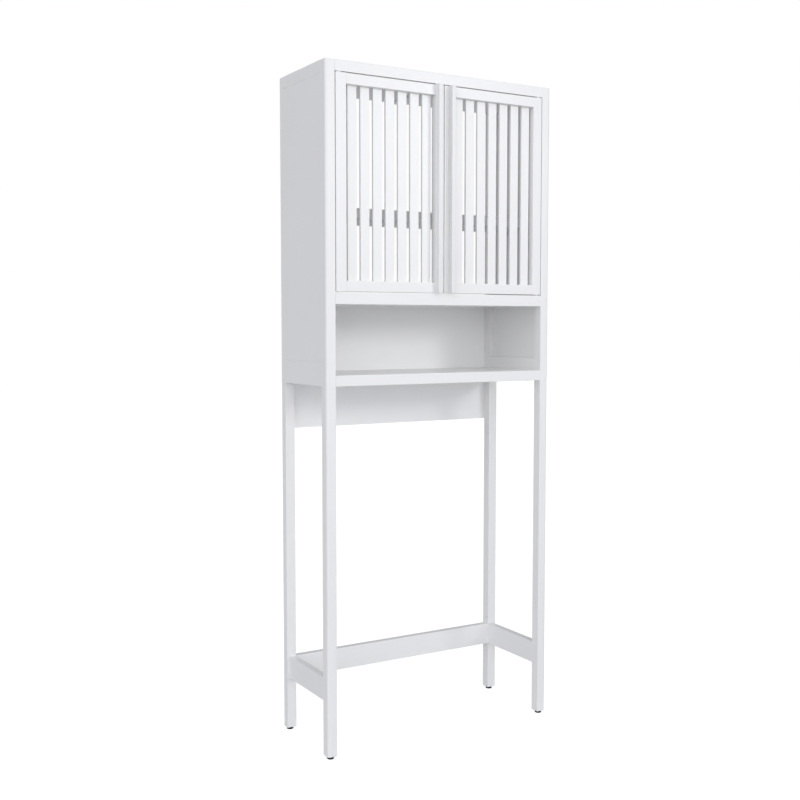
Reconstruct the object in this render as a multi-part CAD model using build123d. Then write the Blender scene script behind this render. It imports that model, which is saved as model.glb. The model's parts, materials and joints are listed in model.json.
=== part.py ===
from build123d import *
import os

# Over the toilet storage rack: a louvred two door cabinet over an open niche, on four tall legs.
# Millimetres. The front faces -Y, +X is to the right, and the floor is Z = 0.
# The origin is the middle of the floor under the whole rack, handles and back panel included.
# Everything that has a left and a right copy is worked out on the left and mirrored. The two doors
# have stiles of their own widths, and are otherwise alike.

# Overall
HEIGHT = 1650.0
WIDTH = 650.0
POST = 25.0               # square section of each post
BODY_DEPTH = 255.0        # front face of the front posts to rear face of the rear posts
BACK_THICK = 5.0
HANDLE_REACH = 16.0       # how far the handles stand forward of the doors
POST_ROUND = 6.0          # rounding of each post's outer corner
EASE = 1.0                # small rounding of other exposed edges

# Heights
LEG_END = 7.0             # lower end of each post
STRETCHER_LOW, STRETCHER_TALL = 135.5, 57.0
SPARE_HOLES = (113.0, 209.0)
BACK_LOW, BACK_HIGH = 777.0, 1102.0
NICHE_FLOOR_LOW, NICHE_FLOOR_HIGH = 895.0, 921.0
CABINET_FLOOR_LOW, CABINET_FLOOR_HIGH = 1088.0, 1116.0
SHELF_LOW, SHELF_HIGH = 1291.5, 1316.5
TOP_LOW = 1624.0

# Side frames
PANEL_THICK = 12.0
TOP_RAIL, BOTTOM_RAIL = 30.0, 57.0
TONGUE_IN, TONGUE_THICK, TONGUE_DEEP = 2.0, 6.0, 6.0   # tongue round the side panel's edges
GROOVE = 1.2              # chamfer on each side of the groove where a panel meets a rail
STRETCHER_THICK = 18.0

# Doors
DOOR_THICK = 18.0
DOOR_GAP = 2.0            # to the posts and boards, and between the doors
STILES = {"left": (27.5, 24.0), "right": (25.5, 28.0)}   # hinge stile and meeting stile
DOOR_RAIL = 25.0
SLATS = 7
SLAT_WIDE, SLAT_THICK = 24.0, 6.5
SLAT_PITCH = 34.15
SLAT_BACK = 10.0          # the slats stand this far behind the door's face
SLAT_TENON, SLAT_EASE = 8.0, 0.6
HANDLE_INNER, HANDLE_OUTER = 12.8, 25.2        # the handle's crest, from the middle of the rack
HANDLE_BASE, HANDLE_STEP = 28.0, 8.0           # outer edge and height of its wider base
HANDLE_ROUND = 2.0

# Pivots
PIVOT_IN, PIVOT_BACK = 10.0, 5.0   # pivot line, from the door's outer edge and from its face
PIN_RADIUS = 2.5
PIN_OUT, PIN_IN = 11.0, 22.0
BUSH_RADIUS, BUSH_DEEP = 3.75, 12.0
FLANGE_RADIUS = 5.5
RUNNING_FIT = 0.05

# Cam locks, dowels and screws
CAM_RADIUS, CAM_PAST = 7.5, 6.0    # disc, and how far it goes past the middle of its board
CAM_IN = 34.0                      # cam centre from the end of its board
CAM_EDGE = 15.0                    # cam centre from the board's front or rear edge
CAM_SLOT = 9.0
CAP_RADIUS, CAP_THICK = 9.0, 0.8
BOLT_RADIUS, BOLT_WAIST, BOLT_THREAD = 3.0, 2.0, 12.0
DOWEL_RADIUS, DOWEL_HALF = 4.0, 12.0
SCREW_RADIUS, SCREW_LONG = 1.75, 15.0
HEAD_RADIUS, HEAD_TALL = 3.5, 1.75
HOLE_PITCH = 32.0
HOLE_RADIUS = 2.5
BACK_SCREW_HEIGHTS = (790.0, 870.0, 950.0, 1050.0)
ANCHOR_X, ANCHOR_RADIUS, ANCHOR_DEEP = 200.0, 1.5, 25.0   # pilot holes for wall brackets

# Shelf
SHELF_SPACE = 1.0                     # to each side panel
SHELF_INSET, SHELF_DEPTH = 1.5, 166.0 # from the rear face of the front posts, and front to rear
PEG_INSET = 33.0                      # pegs from the shelf's front and rear edges
PEG_DEEP, PEG_REACH = 8.0, 14.0
PEG_WIDE, PEG_TALL = 10.0, 6.0

# Catch and strip under the middle of the top
CATCH_HALF, CATCH_TALL, CATCH_DEEP = 26.0, 13.0, 14.0
CATCH_GAP, CATCH_SCREW_X = 0.3, 21.5
MAGNET_X, MAGNET_WIDE, MAGNET_TALL = 12.0, 10.0, 8.0
PLATE_X, PLATE_WIDE, PLATE_TALL, PLATE_THICK = 13.0, 18.0, 9.0, 1.0
STRIP_WIDE, STRIP_THICK = 22.0, 6.0

# Levelling feet
PAD_RADIUS, PAD_NECK = 8.5, 6.5
PAD_LIP, PAD_TALL = 3.5, 6.5
STEM_RADIUS, STEM_TOP = 4.0, 44.0
INSERT_RADIUS, INSERT_TALL = 6.0, 18.0

DEPTH = HANDLE_REACH + BODY_DEPTH + BACK_THICK
FRONT = HANDLE_REACH - DEPTH / 2
REAR = FRONT + BODY_DEPTH
SIDE = WIDTH / 2                   # outer face of the posts
INSIDE = SIDE - POST               # inner face of the posts
PANEL_FACE = SIDE - PANEL_THICK    # inner face of the side panels
BEHIND = FRONT + POST              # rear face of the front posts
AHEAD = REAR - POST                # front face of the rear posts
POST_X = -SIDE + POST / 2
POST_Y = {"front": FRONT + POST / 2, "rear": REAR - POST / 2}
PANEL_LOW = NICHE_FLOOR_LOW + BOTTOM_RAIL
PANEL_HIGH = HEIGHT - TOP_RAIL
STRETCHER_MID = STRETCHER_LOW + STRETCHER_TALL / 2
STRETCHER_BACK = AHEAD + STRETCHER_THICK
TOP_MID = (TOP_LOW + HEIGHT) / 2
CABINET_FLOOR_MID = (CABINET_FLOOR_LOW + CABINET_FLOOR_HIGH) / 2
NICHE_FLOOR_MID = (NICHE_FLOOR_LOW + NICHE_FLOOR_HIGH) / 2
DOOR_LOW = CABINET_FLOOR_HIGH + DOOR_GAP
DOOR_HIGH = TOP_LOW - DOOR_GAP
HINGE_EDGE = -INSIDE + DOOR_GAP    # the left door's two upright edges
MEETING_EDGE = -DOOR_GAP / 2
PIVOT_X = HINGE_EDGE + PIVOT_IN
PIVOT_Y = FRONT + PIVOT_BACK
DOOR_BACK = FRONT + DOOR_THICK


def block(x0, x1, y0, y1, z0, z1):
    """A box between two corners."""
    return Pos((x0 + x1) / 2, (y0 + y1) / 2, (z0 + z1) / 2) * Box(x1 - x0, y1 - y0, z1 - z0)


def rod(radius, x, y, z, length, axis="Z"):
    """A round bar from (x, y, z) along +axis, or along -axis where the length is negative."""
    turn = {"X": Rot(0, 90, 0), "Y": Rot(-90, 0, 0), "Z": Rot(0, 0, 0)}[axis]
    bar = Cylinder(radius, abs(length), align=(Align.CENTER, Align.CENTER, Align.MIN))
    if length < 0:
        bar = Pos(0, 0, length) * bar
    return Pos(x, y, z) * turn * bar


def other_side(part):
    return mirror(part, about=Plane.YZ)


def both_sides(pieces):
    return list(pieces) + [other_side(piece) for piece in pieces]


def bored(part, cutters):
    """The part less each cutter."""
    for cutter in cutters:
        part = part - cutter
    return part


def eased(part, axis, radius=EASE):
    """The part with its edges along one axis rounded."""
    return fillet(part.edges().filter_by(axis), radius)


def edges_at(part, axis, **place):
    """The part's edges along one axis whose middle is at the given X, Y or Z."""
    return [
        edge for edge in part.edges().filter_by(axis)
        if all(abs(getattr(edge.center(), name) - value) < EASE / 4 for name, value in place.items())
    ]


def save(name, pieces):
    found = [solid for piece in pieces for solid in piece.solids()]
    shape = found[0] if len(found) == 1 else Compound(found)
    export_step(shape, os.path.join("parts", name + ".step"))


# Screws. Each is given by a location whose Z axis points into the wood, with the head at its origin.
FORWARD = Rot(90, 0, 0)


def screw_blank(place, length):
    """A countersunk screw without its recess, which is also the hole it sits in."""
    cone = Cone(HEAD_RADIUS, SCREW_RADIUS, HEAD_TALL, align=(Align.CENTER, Align.CENTER, Align.MIN))
    return place * (cone + rod(SCREW_RADIUS, 0, 0, 0, length))


def screw(place, length):
    """A countersunk screw with a cross recess."""
    long, half, deep = 2.2, 0.4, 0.9
    recess = block(-long, long, -half, half, 0, deep) + block(-half, half, -long, long, 0, deep)
    return screw_blank(place, length) - place * recess


back_screws = [Pos(-PANEL_FACE + 6, REAR + BACK_THICK, z) * FORWARD for z in BACK_SCREW_HEIGHTS]
back_screws += [
    Pos(-INSIDE / 2, REAR + BACK_THICK, z) * FORWARD for z in (NICHE_FLOOR_MID, CABINET_FLOOR_MID)
]
back_seats = [screw_blank(place, SCREW_LONG) for place in back_screws]


# Cam locks: a bolt screwed into the post, and a disc in the board that draws it in.
def cam_bolt(y, z):
    """A bolt with a waist and a head, from inside the post to inside the disc."""
    edge = -INSIDE + CAM_IN - CAM_RADIUS
    waist, head = 5.0, 2.5
    shank = rod(BOLT_RADIUS, -INSIDE - BOLT_THREAD, y, z, BOLT_THREAD + CAM_IN - CAM_RADIUS, "X")
    return shank + rod(BOLT_WAIST, edge, y, z, waist, "X") + rod(BOLT_RADIUS, edge + waist, y, z, head, "X")


def cam_disc(place, deep):
    """A disc with a cross slot in its face. The location's Z axis points into the board."""
    half, cut = CAM_SLOT / 2, 1.6
    disc = rod(CAM_RADIUS, 0, 0, 0, deep)
    disc = disc - block(-half, half, -1, 1, 0, cut) - block(-1, 1, -half, half, 0, cut)
    return place * disc


def cam_cap(place):
    """A thin cover over the disc, on the face of the board."""
    cap = rod(CAP_RADIUS, 0, 0, 0, -CAP_THICK)
    return place * fillet(cap.edges().sort_by(Axis.Z)[0], CAP_THICK / 2)


cam_places = []            # each disc's location and depth, and its bolt
cam_bolts = []
for low, middle in ((TOP_LOW, TOP_MID), (CABINET_FLOOR_LOW, CABINET_FLOOR_MID),
                    (NICHE_FLOOR_LOW, NICHE_FLOOR_MID)):
    for y in (FRONT + CAM_EDGE, REAR - CAM_EDGE):
        cam_places.append((Pos(-INSIDE + CAM_IN, y, low), middle - low + CAM_PAST))
        cam_bolts.append(cam_bolt(y, middle))
STRETCHER_CAM_Z = STRETCHER_MID + HOLE_PITCH / 2
cam_places.append((
    Pos(-INSIDE + CAM_IN, STRETCHER_BACK, STRETCHER_CAM_Z) * FORWARD,
    STRETCHER_THICK / 2 + CAM_PAST,
))
cam_bolts.append(cam_bolt(AHEAD + STRETCHER_THICK / 2, STRETCHER_CAM_Z))
cam_seats = [place * rod(CAM_RADIUS, 0, 0, 0, deep) for place, deep in cam_places]
cam_discs = [bored(cam_disc(place, deep), [bolt]) for (place, deep), bolt in zip(cam_places, cam_bolts)]
cam_caps = [cam_cap(place) for place, deep in cam_places]

# Dowels
board_dowels = [
    rod(DOWEL_RADIUS, -INSIDE - DOWEL_HALF, y, z, 2 * DOWEL_HALF, "X")
    for z in (TOP_MID, NICHE_FLOOR_MID) for y in (BEHIND + 40, AHEAD - 40)
]
rear_stretcher_dowel = rod(
    DOWEL_RADIUS, -INSIDE - DOWEL_HALF, AHEAD + STRETCHER_THICK / 2, STRETCHER_MID - HOLE_PITCH / 2,
    2 * DOWEL_HALF, "X",
)
frame_dowels = [
    rod(DOWEL_RADIUS, x, y - DOWEL_HALF, z, 2 * DOWEL_HALF, "Y")
    for y in (BEHIND, AHEAD)
    for x, z in (
        (POST_X, PANEL_HIGH + 2 * DOWEL_RADIUS),
        (POST_X, PANEL_LOW - 5 * DOWEL_RADIUS),
        (-INSIDE - STRETCHER_THICK / 2, STRETCHER_MID),
    )
]


# Levelling feet
def foot_pad(x, y):
    disc = rod(PAD_RADIUS, x, y, 0, PAD_LIP)
    disc = fillet(disc.edges(), EASE)
    neck = rod(PAD_NECK, x, y, PAD_LIP - EASE, PAD_TALL - PAD_LIP + EASE)
    return disc + neck - rod(STEM_RADIUS, x, y, PAD_LIP / 2, PAD_TALL)


def foot_stem(x, y):
    stem = rod(STEM_RADIUS, x, y, PAD_LIP / 2, STEM_TOP - PAD_LIP / 2)
    return chamfer(stem.edges().sort_by(Axis.Z)[-1], EASE)


def leg_insert(y):
    nut = rod(INSERT_RADIUS, POST_X, y, LEG_END, INSERT_TALL)
    return nut - rod(STEM_RADIUS + RUNNING_FIT, POST_X, y, LEG_END, INSERT_TALL)


def leg_bore(y):
    """The hole in the leg's end for the insert, with room above it for the stem."""
    space = 1.0
    stem_hole = rod(STEM_RADIUS + space / 2, POST_X, y, LEG_END, STEM_TOP - LEG_END + space)
    return rod(INSERT_RADIUS, POST_X, y, LEG_END, INSERT_TALL) + stem_hole


# Side frame
panel_tongue = block(
    -SIDE + TONGUE_IN, -SIDE + TONGUE_IN + TONGUE_THICK, BEHIND - TONGUE_DEEP, AHEAD + TONGUE_DEEP,
    PANEL_LOW - TONGUE_DEEP, PANEL_HIGH + TONGUE_DEEP,
)
spare_holes = [
    rod(HOLE_RADIUS, -INSIDE, AHEAD + STRETCHER_THICK / 2, z, -POST / 2, "X") for z in SPARE_HOLES
]


def post(y0, y1, outer_y, cutters):
    """A post whose outer corner, towards outer_y, is rounded."""
    stick = block(-SIDE, -INSIDE, y0, y1, LEG_END, HEIGHT)
    stick = fillet(edges_at(stick, Axis.Z, X=-SIDE, Y=outer_y), POST_ROUND)
    stick = fillet(edges_at(stick, Axis.Z, X=-INSIDE, Y=outer_y), EASE)
    ends = stick.edges().group_by(Axis.Z)
    return bored(chamfer(ends[0] + ends[-1], EASE / 2), cutters)


def side_rail(low, high, groove_z):
    rail = block(-SIDE, -INSIDE, BEHIND, AHEAD, low, high)
    rail = chamfer(edges_at(rail, Axis.Y, X=-SIDE, Z=groove_z), GROOVE)
    return bored(rail, frame_dowels + board_dowels + [panel_tongue])


def side_stretcher():
    bar = block(
        -INSIDE - STRETCHER_THICK, -INSIDE, BEHIND, AHEAD, STRETCHER_LOW, STRETCHER_LOW + STRETCHER_TALL
    )
    return bored(eased(bar, Axis.Y), frame_dowels)


# Shelf pegs: a pin in the side panel with a flat tongue that the shelf lies on
PEG_Z = SHELF_LOW - PEG_TALL / 2
SHELF_FRONT = BEHIND + SHELF_INSET
SHELF_REAR = SHELF_FRONT + SHELF_DEPTH
PEG_Y = (SHELF_FRONT + PEG_INSET, SHELF_REAR - PEG_INSET)


def peg_hole(y, z):
    return rod(HOLE_RADIUS, -PANEL_FACE - PEG_DEEP, y, z, PEG_DEEP, "X")


def peg(y):
    tongue = block(
        -PANEL_FACE, -PANEL_FACE + PEG_REACH, y - PEG_WIDE / 2, y + PEG_WIDE / 2, SHELF_LOW - PEG_TALL,
        SHELF_LOW,
    )
    return peg_hole(y, PEG_Z) + eased(tongue, Axis.Z)


peg_holes = [peg_hole(y, PEG_Z + step * HOLE_PITCH) for y in PEG_Y for step in range(-3, 4)]


def side_panel():
    board = block(-SIDE, -PANEL_FACE, BEHIND, AHEAD, PANEL_LOW, PANEL_HIGH)
    lips = edges_at(board, Axis.Y, X=-SIDE, Z=PANEL_LOW) + edges_at(board, Axis.Y, X=-SIDE, Z=PANEL_HIGH)
    return bored(chamfer(lips, GROOVE) + panel_tongue, peg_holes)


# Pieces that span the two side frames
bush_seats = [
    rod(BUSH_RADIUS, PIVOT_X, PIVOT_Y, TOP_LOW, BUSH_DEEP),
    rod(BUSH_RADIUS, PIVOT_X, PIVOT_Y, CABINET_FLOOR_HIGH, -BUSH_DEEP),
]


def bush(z, way):
    """A flanged bush for a pivot pin, let into a board in the way given, with its flange in the gap."""
    sleeve = rod(BUSH_RADIUS, PIVOT_X, PIVOT_Y, z, way * BUSH_DEEP)
    flange = rod(FLANGE_RADIUS, PIVOT_X, PIVOT_Y, z, -way * (DOOR_GAP - RUNNING_FIT))
    return sleeve + flange - rod(PIN_RADIUS + RUNNING_FIT, PIVOT_X, PIVOT_Y, z - BUSH_DEEP, 2 * BUSH_DEEP)


def board(low, high, cutters, reach=INSIDE):
    """A board from side to side. Where it reaches past the posts' inner faces, it is notched round them."""
    slab = block(-reach, reach, FRONT, REAR, low, high)
    if reach > INSIDE:
        for y0, y1 in ((FRONT, BEHIND), (AHEAD, REAR)):
            slab = bored(slab, both_sides([block(-SIDE, -INSIDE, y0, y1, low, high)]))
    slab = fillet(edges_at(slab, Axis.X, Y=FRONT), EASE)
    return bored(slab, both_sides(cutters))


CATCH_FRONT = DOOR_BACK + PLATE_THICK + CATCH_GAP
CATCH_LOW = TOP_LOW - CATCH_TALL
catch_screws = [
    Pos(side * CATCH_SCREW_X, CATCH_FRONT + CATCH_DEEP / 2, CATCH_LOW) for side in (-1, 1)
]
CATCH_SCREW_LONG = CATCH_TALL + 9
catch_seats = [screw_blank(place, CATCH_SCREW_LONG) for place in catch_screws]
magnets = [
    block(
        x - MAGNET_WIDE / 2, x + MAGNET_WIDE / 2, CATCH_FRONT, CATCH_FRONT + MAGNET_TALL,
        TOP_LOW - (CATCH_TALL + MAGNET_TALL) / 2, TOP_LOW - (CATCH_TALL - MAGNET_TALL) / 2,
    )
    for x in (-MAGNET_X, MAGNET_X)
]


def catch_housing():
    shell = block(
        -CATCH_HALF, CATCH_HALF, CATCH_FRONT, CATCH_FRONT + CATCH_DEEP, CATCH_LOW, TOP_LOW
    )
    return bored(eased(shell, Axis.Z, 2 * EASE), magnets + catch_seats)


def top_strip():
    ends = 6.0
    strip = block(
        -STRIP_WIDE / 2, STRIP_WIDE / 2, CATCH_FRONT + CATCH_DEEP + ends, REAR - 2 * ends,
        TOP_LOW - STRIP_THICK, TOP_LOW,
    )
    return eased(strip, Axis.Z, 3 * EASE)


def top_board():
    anchor = rod(ANCHOR_RADIUS, -ANCHOR_X, REAR, TOP_MID, -ANCHOR_DEEP, "Y")
    slab = board(TOP_LOW, HEIGHT, cam_seats + cam_bolts + board_dowels + bush_seats + [anchor])
    return bored(slab, catch_seats)


def cabinet_floor():
    cutters = cam_seats + cam_bolts + bush_seats + back_seats
    return board(CABINET_FLOOR_LOW, CABINET_FLOOR_HIGH, cutters, reach=PANEL_FACE)


def niche_floor():
    return board(NICHE_FLOOR_LOW, NICHE_FLOOR_HIGH, cam_seats + cam_bolts + board_dowels + back_seats)


def back_panel():
    sheet = block(-PANEL_FACE, PANEL_FACE, REAR, REAR + BACK_THICK, BACK_LOW, BACK_HIGH)
    return bored(eased(sheet, Axis.Y, 2 * EASE), both_sides(back_seats))


def rear_stretcher():
    bar = block(-INSIDE, INSIDE, AHEAD, STRETCHER_BACK, STRETCHER_LOW, STRETCHER_LOW + STRETCHER_TALL)
    return bored(eased(bar, Axis.X), both_sides([cam_seats[-1], cam_bolts[-1], rear_stretcher_dowel]))


def shelf():
    reach = PANEL_FACE - SHELF_SPACE
    slab = block(-reach, reach, SHELF_FRONT, SHELF_REAR, SHELF_LOW, SHELF_HIGH)
    return eased(slab, Axis.X)


# The doors
pivot_pins = [
    rod(PIN_RADIUS, PIVOT_X, PIVOT_Y, DOOR_LOW - PIN_OUT, PIN_OUT + PIN_IN),
    rod(PIN_RADIUS, PIVOT_X, PIVOT_Y, DOOR_HIGH - PIN_IN, PIN_OUT + PIN_IN),
]
HANDLE_SCREW_LONG = DOOR_THICK + HANDLE_STEP
HANDLE_SCREW_IN = 60.0
handle_screws = [
    Pos(-(HANDLE_INNER + HANDLE_OUTER) / 2, DOOR_BACK, z) * FORWARD
    for z in (DOOR_LOW + HANDLE_SCREW_IN, (DOOR_LOW + DOOR_HIGH) / 2, DOOR_HIGH - HANDLE_SCREW_IN)
]
handle_seats = [screw_blank(place, HANDLE_SCREW_LONG) for place in handle_screws]
PLATE_Z = TOP_LOW - CATCH_TALL / 2
strike_screw = Pos(-PLATE_X, DOOR_BACK + PLATE_THICK, PLATE_Z) * FORWARD
STRIKE_SCREW_LONG = 12.0
strike_seat = screw_blank(strike_screw, STRIKE_SCREW_LONG)


def slat(middle):
    """One upright slat, with a tenon at each end."""
    front = FRONT + SLAT_BACK
    return block(
        middle - SLAT_WIDE / 2, middle + SLAT_WIDE / 2, front, front + SLAT_THICK,
        DOOR_LOW + DOOR_RAIL - SLAT_TENON, DOOR_HIGH - DOOR_RAIL + SLAT_TENON,
    )


def stile(x0, x1, cutters):
    return bored(eased(block(x0, x1, FRONT, DOOR_BACK, DOOR_LOW, DOOR_HIGH), Axis.Z), cutters)


def door_rail(x0, x1, low, cutters):
    return bored(eased(block(x0, x1, FRONT, DOOR_BACK, low, low + DOOR_RAIL), Axis.X), cutters)


def handle():
    """A full height strip, stepped on its outer side, which is glued and screwed to the stile."""
    outline = Polyline(
        (-HANDLE_BASE, FRONT), (-HANDLE_BASE, FRONT - HANDLE_STEP), (-HANDLE_OUTER, FRONT - HANDLE_STEP),
        (-HANDLE_OUTER, FRONT - HANDLE_REACH), (-HANDLE_INNER, FRONT - HANDLE_REACH),
        (-HANDLE_INNER, FRONT), close=True,
    )
    strip = Pos(0, 0, DOOR_LOW) * extrude(make_face(outline), DOOR_HIGH - DOOR_LOW)
    crest = edges_at(strip, Axis.Z, Y=FRONT - HANDLE_REACH)
    strip = fillet(crest, HANDLE_ROUND)
    strip = fillet(edges_at(strip, Axis.Z, X=-HANDLE_BASE, Y=FRONT - HANDLE_STEP), EASE)
    return bored(strip, handle_seats)


def strike_plate():
    plate = block(
        -PLATE_X - PLATE_WIDE / 2, -PLATE_X + PLATE_WIDE / 2, DOOR_BACK, DOOR_BACK + PLATE_THICK,
        PLATE_Z - PLATE_TALL / 2, PLATE_Z + PLATE_TALL / 2,
    )
    return eased(plate, Axis.Y, 2 * EASE) - strike_seat


def door(hinge_stile, meeting_stile):
    """The pieces of a door hung on the left, with stiles of the given widths."""
    x0, x1 = HINGE_EDGE + hinge_stile, MEETING_EDGE - meeting_stile
    dowels = [
        rod(DOWEL_RADIUS, x - DOWEL_HALF, FRONT + DOOR_THICK / 2, z, 2 * DOWEL_HALF, "X")
        for x in (x0, x1) for z in (DOOR_LOW + DOOR_RAIL / 2, DOOR_HIGH - DOOR_RAIL / 2)
    ]
    slats = [slat((x0 + x1) / 2 + (number - (SLATS - 1) / 2) * SLAT_PITCH) for number in range(SLATS)]
    return {
        "hinge_stile": [stile(HINGE_EDGE, x0, dowels + pivot_pins)],
        "meeting_stile": [stile(x1, MEETING_EDGE, dowels + handle_seats + [strike_seat])],
        "top_rail": [door_rail(x0, x1, DOOR_HIGH - DOOR_RAIL, dowels + slats)],
        "bottom_rail": [door_rail(x0, x1, DOOR_LOW, dowels + slats)],
        "slats": [eased(bar, Axis.Z, SLAT_EASE) for bar in slats],
        "handle": [handle()],
        "handle_screws": [screw(place, HANDLE_SCREW_LONG) for place in handle_screws],
        "strike_plate": [strike_plate(), screw(strike_screw, STRIKE_SCREW_LONG)],
        "pivot_pins": pivot_pins,
        "dowels": dowels,
    }


post_cutters = cam_bolts + frame_dowels + [panel_tongue]
rear_cutters = back_seats + spare_holes + [rear_stretcher_dowel, leg_bore(POST_Y["rear"])]
side_frame = {
    "post_front": post(FRONT, BEHIND, FRONT, post_cutters + [leg_bore(POST_Y["front"])]),
    "post_rear": post(AHEAD, REAR, REAR, post_cutters + rear_cutters),
    "side_panel": side_panel(),
    "side_top_rail": side_rail(PANEL_HIGH, HEIGHT, PANEL_HIGH),
    "side_bottom_rail": side_rail(NICHE_FLOOR_LOW, PANEL_LOW, PANEL_LOW),
    "side_stretcher": side_stretcher(),
}

spanning = {
    "top_board": [top_board()],
    "cabinet_floor": [cabinet_floor()],
    "niche_floor": [niche_floor()],
    "back_panel": [back_panel()],
    "rear_stretcher": [rear_stretcher()],
    "shelf": [shelf()],
    "top_strip": [top_strip()],
    "catch_housing": [catch_housing()],
    "catch_magnets": magnets,
    "catch_screws": [screw(place, CATCH_SCREW_LONG) for place in catch_screws],
    "shelf_pegs": both_sides([peg(y) for y in PEG_Y]),
    "pivot_bushes": both_sides([bush(TOP_LOW, 1), bush(CABINET_FLOOR_HIGH, -1)]),
    "cam_discs": both_sides(cam_discs),
    "cam_bolts": both_sides(cam_bolts),
    "cam_caps": both_sides(cam_caps),
    "board_dowels": both_sides(board_dowels),
    "rear_stretcher_dowels": both_sides([rear_stretcher_dowel]),
    "side_frame_dowels": both_sides(frame_dowels),
    "back_panel_screws": both_sides([screw(place, SCREW_LONG) for place in back_screws]),
    "leg_inserts": both_sides([leg_insert(y) for y in POST_Y.values()]),
}

os.makedirs("parts", exist_ok=True)
for name, pieces in spanning.items():
    save(name, pieces)
for name, piece in side_frame.items():
    save(name + "_left", [piece])
    save(name + "_right", [other_side(piece)])
for name, pieces in door(*STILES["left"]).items():
    save("left_door_" + name, pieces)
for name, pieces in door(*STILES["right"]).items():
    save("right_door_" + name, [other_side(piece) for piece in pieces])
for place, y in POST_Y.items():
    for side, x in (("left", POST_X), ("right", -POST_X)):
        save(f"foot_pad_{place}_{side}", [foot_pad(x, y)])
        save(f"foot_stem_{place}_{side}", [foot_stem(x, y)])
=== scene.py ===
import json
import math

import bpy
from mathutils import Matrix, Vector

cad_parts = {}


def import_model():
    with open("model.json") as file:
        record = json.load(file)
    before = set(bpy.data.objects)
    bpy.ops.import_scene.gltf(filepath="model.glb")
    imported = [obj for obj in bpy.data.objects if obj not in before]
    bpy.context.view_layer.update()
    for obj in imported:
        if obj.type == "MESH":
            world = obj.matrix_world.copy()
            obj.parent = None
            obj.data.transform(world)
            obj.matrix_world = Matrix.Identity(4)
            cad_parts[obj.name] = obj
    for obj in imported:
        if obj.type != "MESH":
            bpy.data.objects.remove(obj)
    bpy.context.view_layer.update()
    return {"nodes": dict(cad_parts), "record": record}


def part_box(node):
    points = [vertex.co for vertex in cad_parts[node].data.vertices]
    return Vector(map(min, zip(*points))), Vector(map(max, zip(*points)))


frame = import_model()
nodes = frame["nodes"]

# Metres, in the part's own frame: the front faces -Y and the floor is Z = 0.
CAMERA_AT = Vector((-1.4729, -2.4087, 1.0390))
CAMERA_YAW, CAMERA_PITCH = math.radians(30.50), math.radians(3.905)
LENS, SENSOR = 49.315, 36.0                  # millimetres

WHITE = (1.0, 1.0, 1.0)
# The studio's walls and ceiling give an even light. Wide soft panels add to it, each with
# a direction and a strength.
DOME = 0.355
DOME_TINT = (0.985, 0.995, 1.04)
PANELS = ((Vector((-0.7, -0.7, 0.14)), 1.14), (Vector((0.0, -1.0, 0.1)), 0.35))
PANEL_SHARPNESS = 2.0
BACKDROP = 1.0                               # what the camera sees past the floor
FLOOR_ALBEDO, FLOOR_GLOW = 0.85, 0.62
FLOOR_SIZE = 30.0
LAMP_DISTANCE, LAMP_SIZE = 6.0, 1.3

FRAME_WHITE = (0.895, 0.895, 0.888)
# The back panel's white is brighter than the frame's: painted light that lifts the shaded niche and the
# lower board.
BACK_PANEL_PAINTED_LIGHT_WHITE = (0.985, 0.985, 0.978)
# The handles' white is darker than the frame's: painted shade for the shading across their fronts.
HANDLE_SHADED_WHITE = (0.825, 0.825, 0.819)
MOTTLE, STREAK = 0.985, 0.96                 # the paint's darker tones, as shares of its tint
STREAK_SHARE = 0.12                          # how much of the streak tone shows at the most
PAINT_GLOSSIEST, PAINT_DULLEST = 0.34, 0.46
# Noise scales, per metre. The grain is finer across than along by the stretch.
GRAIN_SCALE, GRAIN_STRETCH, CLOUD_SCALE, PEEL_SCALE = 30.0, 14, 3.0, 520.0
BEECH_SCALE, MOULD_SCALE, MOULD_CLOUD_SCALE = 90.0, 1400.0, 60.0
NOISE_LOW, NOISE_HIGH = 0.3, 0.7             # most of a noise lies between these
# Depths of the bumps, in metres.
GRAIN_DEPTH, PEEL_DEPTH = 0.00006, 0.00003
BEECH_DEPTH, METAL_DEPTH, MOULD_DEPTH = 0.0001, 0.00003, 0.00004


class Graph:
    """A small helper that adds nodes to a node tree and links their sockets by name."""

    def __init__(self, tree):
        self.tree = tree
        self.tree.nodes.clear()

    def add(self, kind, **settings):
        node = self.tree.nodes.new("ShaderNode" + kind)
        for name, value in settings.items():
            setattr(node, name, value)
        return node

    def put(self, node, socket, value):
        """Sets a socket to a constant, or links it when the value is another node's output."""
        target = node.inputs[socket]
        if isinstance(value, bpy.types.NodeSocket):
            self.tree.links.new(value, target)
        else:
            target.default_value = value

    def math(self, operation, first, second):
        node = self.add("Math", operation=operation)
        self.put(node, 0, first)
        self.put(node, 1, second)
        return node.outputs[0]


def rgba(colour):
    return (*colour, 1.0)


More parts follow.
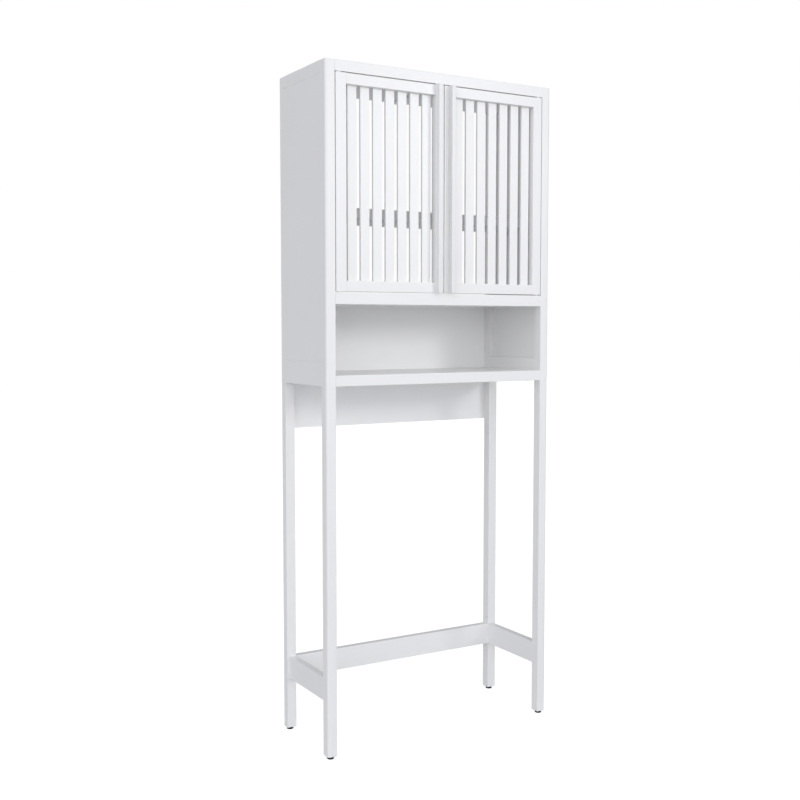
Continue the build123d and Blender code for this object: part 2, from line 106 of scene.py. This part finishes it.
# Studio
def world():
    """The light of the dome and the panels. The camera sees the plain backdrop instead."""
    scene_world = bpy.data.worlds.new("studio")
    scene_world.use_nodes = True
    graph = Graph(scene_world.node_tree)
    walls = graph.add("Background")
    graph.put(walls, "Color", rgba(DOME_TINT))
    place = graph.add("TexCoord").outputs["Generated"]
    strength = DOME
    for way, most in PANELS:
        facing = graph.add("VectorMath", operation="DOT_PRODUCT")
        graph.put(facing, 0, place)
        graph.put(facing, 1, way.normalized())
        lobe = graph.math("POWER", graph.math("MAXIMUM", facing.outputs["Value"], 0.0), PANEL_SHARPNESS)
        strength = graph.math("ADD", graph.math("MULTIPLY", lobe, most), strength)
    graph.put(walls, "Strength", strength)
    backdrop = graph.add("Background")
    graph.put(backdrop, "Color", rgba(WHITE))
    graph.put(backdrop, "Strength", BACKDROP)
    path = graph.add("LightPath")
    mix = graph.add("MixShader")
    graph.put(mix, 0, path.outputs["Is Camera Ray"])
    graph.put(mix, 1, walls.outputs[0])
    graph.put(mix, 2, backdrop.outputs[0])
    out = graph.add("OutputWorld")
    graph.put(out, "Surface", mix.outputs[0])
    bpy.context.scene.world = scene_world


def floor():
    """White paper. It glows a little for the camera alone, so that it meets the backdrop."""
    half = FLOOR_SIZE / 2
    corners = [(-half, -half, 0), (half, -half, 0), (half, half, 0), (-half, half, 0)]
    mesh = bpy.data.meshes.new("floor")
    mesh.from_pydata(corners, [], [(0, 1, 2, 3)])
    slab = bpy.data.objects.new("floor", mesh)
    bpy.context.scene.collection.objects.link(slab)
    material = bpy.data.materials.new("floor_paper")
    material.use_nodes = True
    graph = Graph(material.node_tree)
    diffuse = graph.add("BsdfDiffuse")
    graph.put(diffuse, "Color", rgba((FLOOR_ALBEDO,) * 3))
    glow = graph.add("Emission")
    graph.put(glow, "Color", rgba(WHITE))
    path = graph.add("LightPath")
    graph.put(glow, "Strength", graph.math("MULTIPLY", path.outputs["Is Camera Ray"], FLOOR_GLOW))
    total = graph.add("AddShader")
    graph.put(total, 0, diffuse.outputs[0])
    graph.put(total, 1, glow.outputs[0])
    out = graph.add("OutputMaterial")
    graph.put(out, "Surface", total.outputs[0])
    mesh.materials.append(material)


def lamp(name, azimuth, height, power, aim, spread):
    """A square soft box. Its azimuth is in degrees, to the right of the front's normal."""
    data = bpy.data.lights.new(name, "AREA")
    data.shape = "SQUARE"
    data.size = LAMP_SIZE
    data.energy = power
    data.spread = math.radians(spread)
    box = bpy.data.objects.new(name, data)
    bpy.context.scene.collection.objects.link(box)
    turn = math.radians(azimuth)
    box.location = (LAMP_DISTANCE * math.sin(turn), -LAMP_DISTANCE * math.cos(turn), height)
    box.rotation_euler = (box.location - Vector(aim)).to_track_quat("Z", "Y").to_euler()


def camera():
    data = bpy.data.cameras.new("camera")
    data.lens = LENS
    data.sensor_width = SENSOR
    eye = bpy.data.objects.new("camera", data)
    bpy.context.scene.collection.objects.link(eye)
    eye.location = CAMERA_AT
    eye.rotation_euler = (math.pi / 2 - CAMERA_PITCH, 0, -CAMERA_YAW)
    bpy.context.scene.camera = eye


# Materials
class Finish(Graph):
    """A Principled material whose textures lie in the object's own coordinates."""

    MIX_FIRST, MIX_SECOND, MIX_RESULT = 6, 7, 2      # the colour sockets of a Mix node

    def __init__(self, name, roughness, metallic=0.0, **sockets):
        self.material = bpy.data.materials.new(name)
        self.material.use_nodes = True
        super().__init__(self.material.node_tree)
        self.shader = self.add("BsdfPrincipled")
        self.put(self.shader, "Roughness", roughness)
        self.put(self.shader, "Metallic", metallic)
        for socket, value in sockets.items():
            self.put(self.shader, socket.replace("_", " "), value)
        out = self.add("OutputMaterial")
        self.put(out, "Surface", self.shader.outputs[0])
        self.place = self.add("TexCoord").outputs["Object"]

    def stretched(self, scale):
        """The object's coordinates, in metres, times a scale for each axis."""
        mapping = self.add("Mapping")
        self.put(mapping, "Vector", self.place)
        self.put(mapping, "Scale", scale)
        return mapping.outputs[0]

    def noise(self, scale, detail=3.0, vector=None, roughness=0.5, distortion=0.0):
        node = self.add("TexNoise")
        self.put(node, "Vector", vector or self.place)
        self.put(node, "Scale", scale)
        self.put(node, "Detail", detail)
        self.put(node, "Roughness", roughness)
        self.put(node, "Distortion", distortion)
        return node.outputs[0]

    def mapped(self, value, new_low, new_high, low=NOISE_LOW, high=NOISE_HIGH):
        """A noise's value, moved from the range it mostly lies in to a new one."""
        node = self.add("MapRange")
        self.put(node, "Value", value)
        self.put(node, "From Min", low)
        self.put(node, "From Max", high)
        self.put(node, "To Min", new_low)
        self.put(node, "To Max", new_high)
        return node.outputs[0]

    def blend(self, factor, first, second):
        node = self.add("Mix", data_type="RGBA")
        self.put(node, 0, factor)
        self.put(node, self.MIX_FIRST, rgba(first) if isinstance(first, tuple) else first)
        self.put(node, self.MIX_SECOND, rgba(second) if isinstance(second, tuple) else second)
        return node.outputs[self.MIX_RESULT]

    def bumped(self, heights):
        """Adds (height, depth in metres) pairs as bump, one after another."""
        normal = None
        for height, depth in heights:
            node = self.add("Bump")
            self.put(node, "Height", height)
            self.put(node, "Distance", depth)
            self.put(node, "Strength", 1.0)
            if normal:
                self.put(node, "Normal", normal)
            normal = node.outputs[0]
        self.put(self.shader, "Normal", normal)


def white_paint(name, grain, tint=FRAME_WHITE):
    """Satin lacquer over wood: a fine orange peel, and grain that just shows along one axis."""
    paint = Finish(name, 0.4, IOR=1.48, Coat_Weight=0.15, Coat_Roughness=0.25)
    across = GRAIN_STRETCH
    along = {"X": (1, across, across), "Y": (across, 1, across), "Z": (across, across, 1)}[grain]
    place = paint.stretched(along)
    fibres = paint.noise(GRAIN_SCALE, detail=6.0, vector=place, roughness=0.6, distortion=0.3)
    cloud = paint.noise(CLOUD_SCALE, detail=2.0)
    peel = paint.noise(PEEL_SCALE, detail=2.0)
    mottle = paint.mapped(cloud, 0.0, 1.0)
    streak = paint.mapped(fibres, 0.0, STREAK_SHARE, low=0.25, high=0.75)
    dullness = paint.mapped(peel, PAINT_GLOSSIEST, PAINT_DULLEST)
    tone = paint.blend(mottle, tint, tuple(MOTTLE * part for part in tint))
    colour = paint.blend(streak, tone, tuple(STREAK * part for part in tint))
    paint.put(paint.shader, "Base Color", colour)
    paint.put(paint.shader, "Roughness", dullness)
    paint.bumped([(fibres, GRAIN_DEPTH), (peel, PEEL_DEPTH)])
    return paint.material


def bare_beech():
    """Turned dowel, with a fibre pattern."""
    wood = Finish("bare_beech", 0.6)
    fibres = wood.noise(BEECH_SCALE, detail=5.0, distortion=0.5)
    wood.put(wood.shader, "Base Color", wood.blend(fibres, (0.72, 0.52, 0.33), (0.58, 0.39, 0.22)))
    wood.bumped([(fibres, BEECH_DEPTH)])
    return wood.material


def metal(name, colour, shade, roughness, scale):
    """Plated or cast metal, with a mottled reflection."""
    finish = Finish(name, roughness, metallic=1.0)
    spots = finish.noise(scale, detail=4.0)
    dullness = finish.mapped(spots, roughness - 0.08, roughness + 0.12)
    finish.put(finish.shader, "Base Color", finish.blend(spots, colour, shade))
    finish.put(finish.shader, "Roughness", dullness)
    finish.bumped([(spots, METAL_DEPTH)])
    return finish.material


def moulded(name, colour, shade, roughness):
    """Moulded plastic with a fine spark-eroded texture."""
    plastic = Finish(name, roughness, IOR=1.46)
    texture = plastic.noise(MOULD_SCALE, detail=2.0)
    cloud = plastic.noise(MOULD_CLOUD_SCALE, detail=3.0)
    dullness = plastic.mapped(texture, roughness - 0.06, roughness + 0.08)
    plastic.put(plastic.shader, "Base Color", plastic.blend(cloud, colour, shade))
    plastic.put(plastic.shader, "Roughness", dullness)
    plastic.bumped([(texture, MOULD_DEPTH)])
    return plastic.material


PAINT = {axis: white_paint("white_paint_" + axis.lower(), axis) for axis in "XYZ"}
# A darker copy of the white paint for the handles: painted shade.
HANDLE_SHADED_PAINT = white_paint("white_handle_painted_shade", "Z", HANDLE_SHADED_WHITE)
PLAIN = {
    # The back panel takes a brighter copy of the white paint: painted light for the shaded niche and
    # lower board.
    "back_panel_paint": white_paint("white_back_panel_painted_light", "X", BACK_PANEL_PAINTED_LIGHT_WHITE),
    "dowel_beech": bare_beech(),
    "zinc_plated_steel": metal("zinc_plated_steel", (0.70, 0.70, 0.68), (0.56, 0.57, 0.58), 0.32, 220.0),
    "cast_zinc": metal("cast_zinc", (0.62, 0.63, 0.64), (0.48, 0.49, 0.5), 0.45, 400.0),
    "magnet": moulded("ferrite", (0.05, 0.05, 0.052), (0.09, 0.088, 0.085), 0.6),
    "white_plastic": moulded("white_plastic", (0.84, 0.845, 0.85), (0.8, 0.805, 0.81), 0.45),
    "black_plastic": moulded("black_plastic", (0.008, 0.008, 0.009), (0.014, 0.014, 0.015), 0.6),
}


def long_axis(name):
    """The axis along which a node's pieces run, which is the way of the grain."""
    if name.endswith("_slats"):
        return "Z"
    low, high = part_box(name)
    size = high - low
    return "XYZ"[max(range(3), key=lambda axis: size[axis])]


def dress_nodes():
    """Every painted slot takes the paint whose grain runs along its node."""
    slots = {part["node"]: part["material_slot"] for part in frame["record"]["subparts"]}
    for name, piece in nodes.items():
        material = PLAIN.get(slots[name]) or PAINT[long_axis(name)]
        # The handles take the darker white: painted shade for the shading across their fronts.
        if name.endswith("_door_handle"):
            material = HANDLE_SHADED_PAINT
        for slot in piece.material_slots:
            slot.material = material


def view():
    settings = bpy.context.scene.view_settings
    settings.view_transform = "Standard"
    settings.look = "None"


camera()
world()
floor()
lamp("key", azimuth=30.0, height=2.6, power=3.15, aim=(-0.5, -0.1, 1.05), spread=36.0)
dress_nodes()
view()
